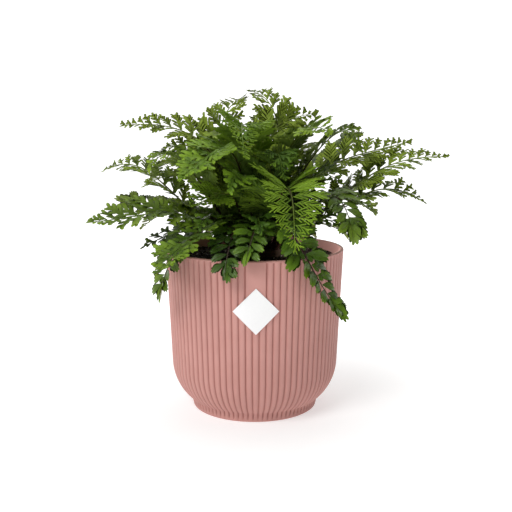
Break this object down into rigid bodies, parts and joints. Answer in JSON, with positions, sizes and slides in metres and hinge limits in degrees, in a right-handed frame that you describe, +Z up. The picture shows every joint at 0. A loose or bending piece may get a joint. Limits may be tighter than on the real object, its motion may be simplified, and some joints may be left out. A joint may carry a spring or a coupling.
{
  "type": "potted fern",
  "caption": "Potted asplenium fern: arching, finely cut and rounded fronds over the rim of a round, finely ribbed flowerpot with a blank square sticker.",
  "frame": {"origin": "middle of the pot's flat foot, on the surface that it stands on", "axes": "+Z up along the pot's axis, -Y towards the front, where the pot has its plain panel and sticker, +X to the viewer's right"},
  "size_m": [0.2741, 0.2192, 0.2493],
  "materials": {
    "pot": "matte",
    "label": "satin",
    "soil": "matte",
    "crown": "matte",
    "fern_fine": "satin",
    "fern_broad": "satin",
    "fern_round": "gloss"
  },
  "bodies": {
    "root": {"pot": "pot", "label": "label", "soil": "soil", "crown": "crown", "frond_top_upright": "fern_fine", "frond_top_leaning": "fern_fine", "frond_top_right": "fern_fine", "frond_centre_high": "fern_fine", "frond_high_left": "fern_fine", "frond_back_left_high": "fern_fine", "frond_back_high": "fern_fine", "frond_right_dark": "fern_round", "frond_right_inner": "fern_fine", "frond_high_broad_right": "fern_broad", "frond_centre_right": "fern_fine", "frond_centre_mid": "fern_broad", "frond_centre_broad": "fern_broad", "frond_high_broad_left": "fern_broad", "frond_left_drooping": "fern_fine", "frond_back_left": "fern_fine", "frond_back_mid": "fern_broad", "frond_back_low": "fern_fine", "frond_back_right_high": "fern_fine", "frond_right_level": "fern_fine", "frond_right_long": "fern_fine", "frond_right_mid": "fern_fine", "frond_feather": "fern_fine", "frond_centre_bright": "fern_fine", "frond_left_mid": "fern_broad", "frond_left_curled": "fern_fine", "frond_left_level": "fern_fine", "frond_left_rounded": "fern_round", "frond_back_left_low": "fern_broad", "frond_back_rim_left": "fern_round", "frond_back_rim": "fern_broad", "frond_back_rim_right": "fern_round", "frond_back_right_low": "fern_broad", "frond_right_rim": "fern_round", "frond_right_low": "fern_fine", "frond_right_short": "fern_broad", "frond_right_hanging": "fern_round", "frond_right_narrow": "fern_fine", "frond_rim_front_right": "fern_round", "frond_rim_front": "fern_round", "frond_front_low": "fern_broad", "frond_rim_front_left": "fern_round", "frond_front_low_left": "fern_broad", "frond_front_left_bright": "fern_broad", "frond_rim_left": "fern_round", "frond_left_long": "fern_broad", "frond_left_dark": "fern_broad"}
  },
  "joints": []
}
